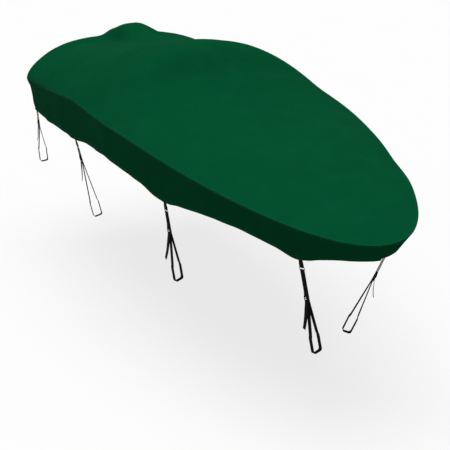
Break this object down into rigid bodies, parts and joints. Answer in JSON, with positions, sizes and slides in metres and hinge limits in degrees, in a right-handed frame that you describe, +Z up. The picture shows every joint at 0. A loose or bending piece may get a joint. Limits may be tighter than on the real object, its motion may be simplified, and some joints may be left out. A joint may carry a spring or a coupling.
{
  "type": "fitted boat cover",
  "caption": "Fitted green cloth cover for a small open boat, with a crowned top, a skirt below the gunwale and black webbing tie-downs that go round a bar below.",
  "frame": {"origin": "underside of the top panel, on the middle line, halfway between the stern edge and the bow tip", "axes": "+X forward to the bow tip, +Y to port, +Z up"},
  "size_m": [3.71, 1.486, 1.1771],
  "materials": {
    "cloth": "coated woven cloth, matt, dark green",
    "webbing": "woven webbing, matt, black",
    "ring": "plated steel wire, bright",
    "buckle": "moulded plastic, black, satin"
  },
  "bodies": {
    "root": {"top_panel": "cloth", "side_skirt": "cloth", "transom_panel": "cloth", "tab_starboard_stern": "webbing", "ring_starboard_stern": "ring", "buckle_starboard_stern": "buckle", "strap_starboard_stern": "webbing", "tab_starboard_aft": "webbing", "ring_starboard_aft": "ring", "buckle_starboard_aft": "buckle", "strap_starboard_aft": "webbing", "tab_starboard_mid": "webbing", "ring_starboard_mid": "ring", "buckle_starboard_mid": "buckle", "strap_starboard_mid": "webbing", "tab_starboard_fore": "webbing", "ring_starboard_fore": "ring", "buckle_starboard_fore": "buckle", "strap_starboard_fore": "webbing", "tab_port_stern": "webbing", "ring_port_stern": "ring", "buckle_port_stern": "buckle", "strap_port_stern": "webbing", "tab_port_aft": "webbing", "ring_port_aft": "ring", "buckle_port_aft": "buckle", "strap_port_aft": "webbing", "tab_port_mid": "webbing", "ring_port_mid": "ring", "buckle_port_mid": "buckle", "strap_port_mid": "webbing", "tab_port_fore": "webbing", "ring_port_fore": "ring", "buckle_port_fore": "buckle", "strap_port_fore": "webbing"}
  },
  "joints": []
}
